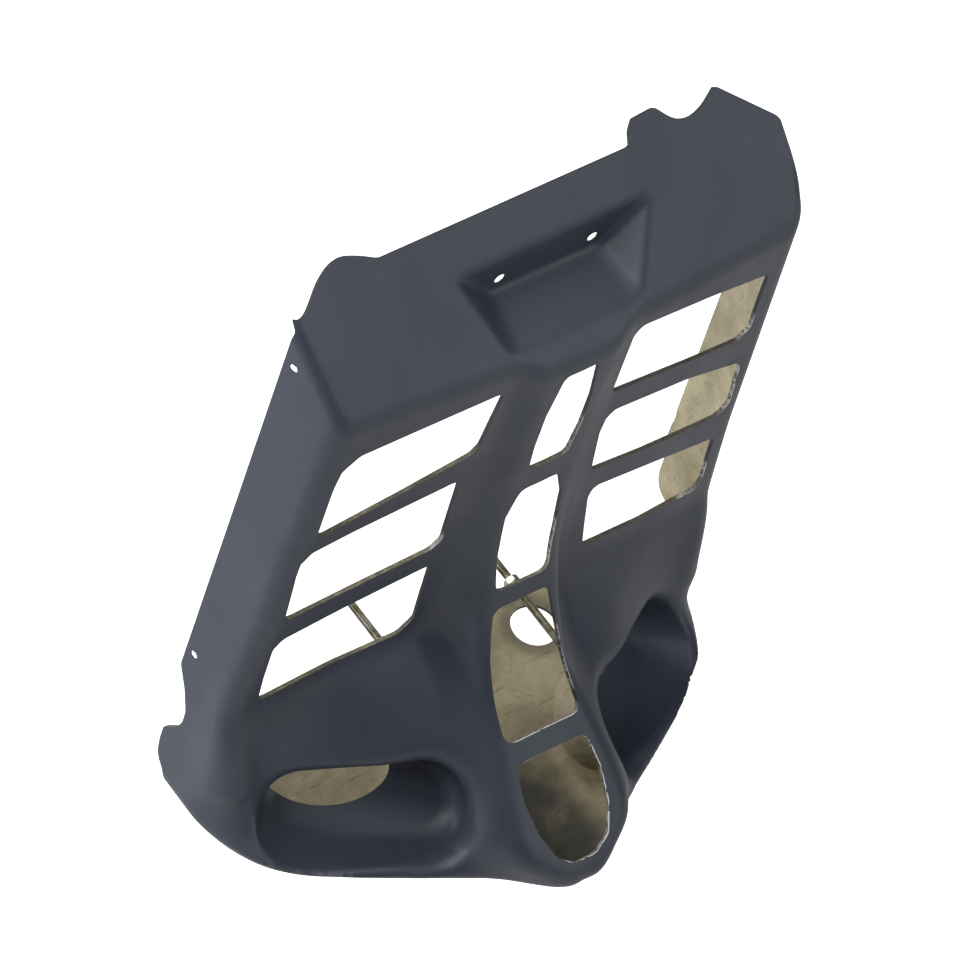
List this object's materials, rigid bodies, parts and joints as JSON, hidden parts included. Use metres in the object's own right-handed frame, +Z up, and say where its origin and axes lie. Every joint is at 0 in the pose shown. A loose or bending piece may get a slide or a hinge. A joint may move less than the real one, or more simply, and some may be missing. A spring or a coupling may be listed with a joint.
{
  "type": "motorcycle radiator cover",
  "caption": "Painted moulded shell that covers a motorcycle radiator, with louvred panels, a central spine of openings and an air scoop on each side.",
  "frame": {"origin": "midway between the two top bolt holes, on the rear face of the recess wall", "axes": "+Z up, front of the cover towards -Y, mirror plane X = 0"},
  "size_m": [0.4292, 0.2611, 0.541],
  "materials": {
    "painted_shell": "satin dark blue-grey paint over fibreglass",
    "zinc_steel": "zinc plated"
  },
  "bodies": {
    "root": {"cover_shell": "painted_shell", "left_stud": "zinc_steel", "left_nut": "zinc_steel", "left_washer": "zinc_steel", "right_stud": "zinc_steel", "right_nut": "zinc_steel", "right_washer": "zinc_steel"}
  },
  "joints": []
}
